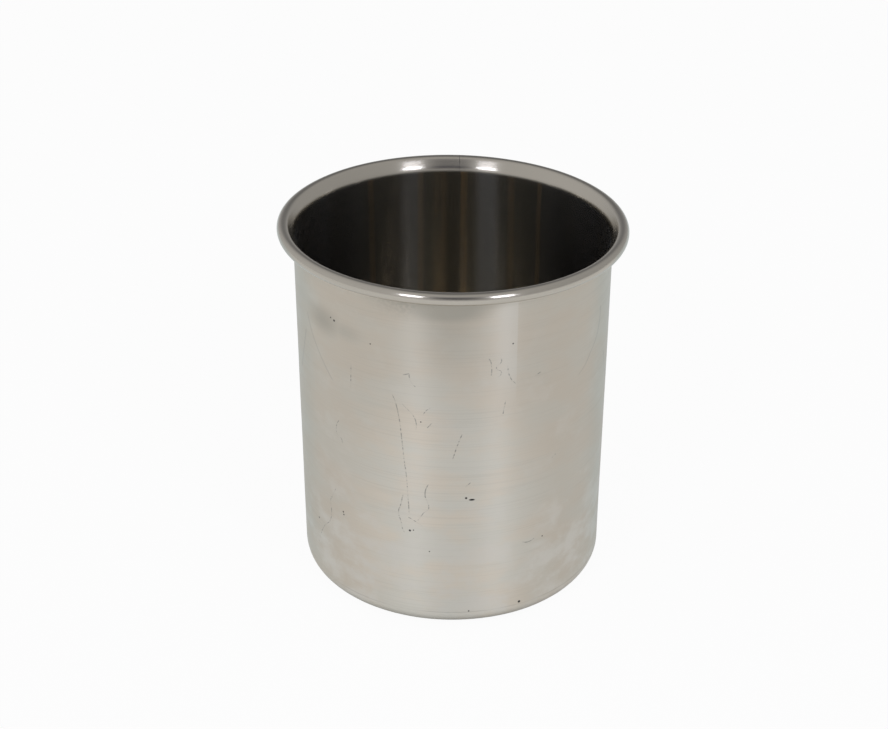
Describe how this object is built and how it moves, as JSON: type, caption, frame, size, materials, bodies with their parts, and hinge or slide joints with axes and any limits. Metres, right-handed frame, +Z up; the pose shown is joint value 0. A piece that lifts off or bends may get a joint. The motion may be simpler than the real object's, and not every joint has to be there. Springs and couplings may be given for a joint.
{
  "type": "deep drawn metal cup",
  "caption": "Straight-sided deep drawn steel cup with a flat base, rounded base corner, short flared neck and an outward rolled round bead at the rim.",
  "frame": {"origin": "middle of the base's underside", "axes": "+Z up along the cup's axis from the base to the rolled rim; +X and +Y are across the cup, which is round"},
  "size_m": [0.1402, 0.14, 0.1538],
  "materials": {
    "steel": "satin stainless steel, brushed around the outside and polished inside, with light handling scratches"
  },
  "bodies": {
    "root": {"cup": "steel"}
  },
  "joints": []
}
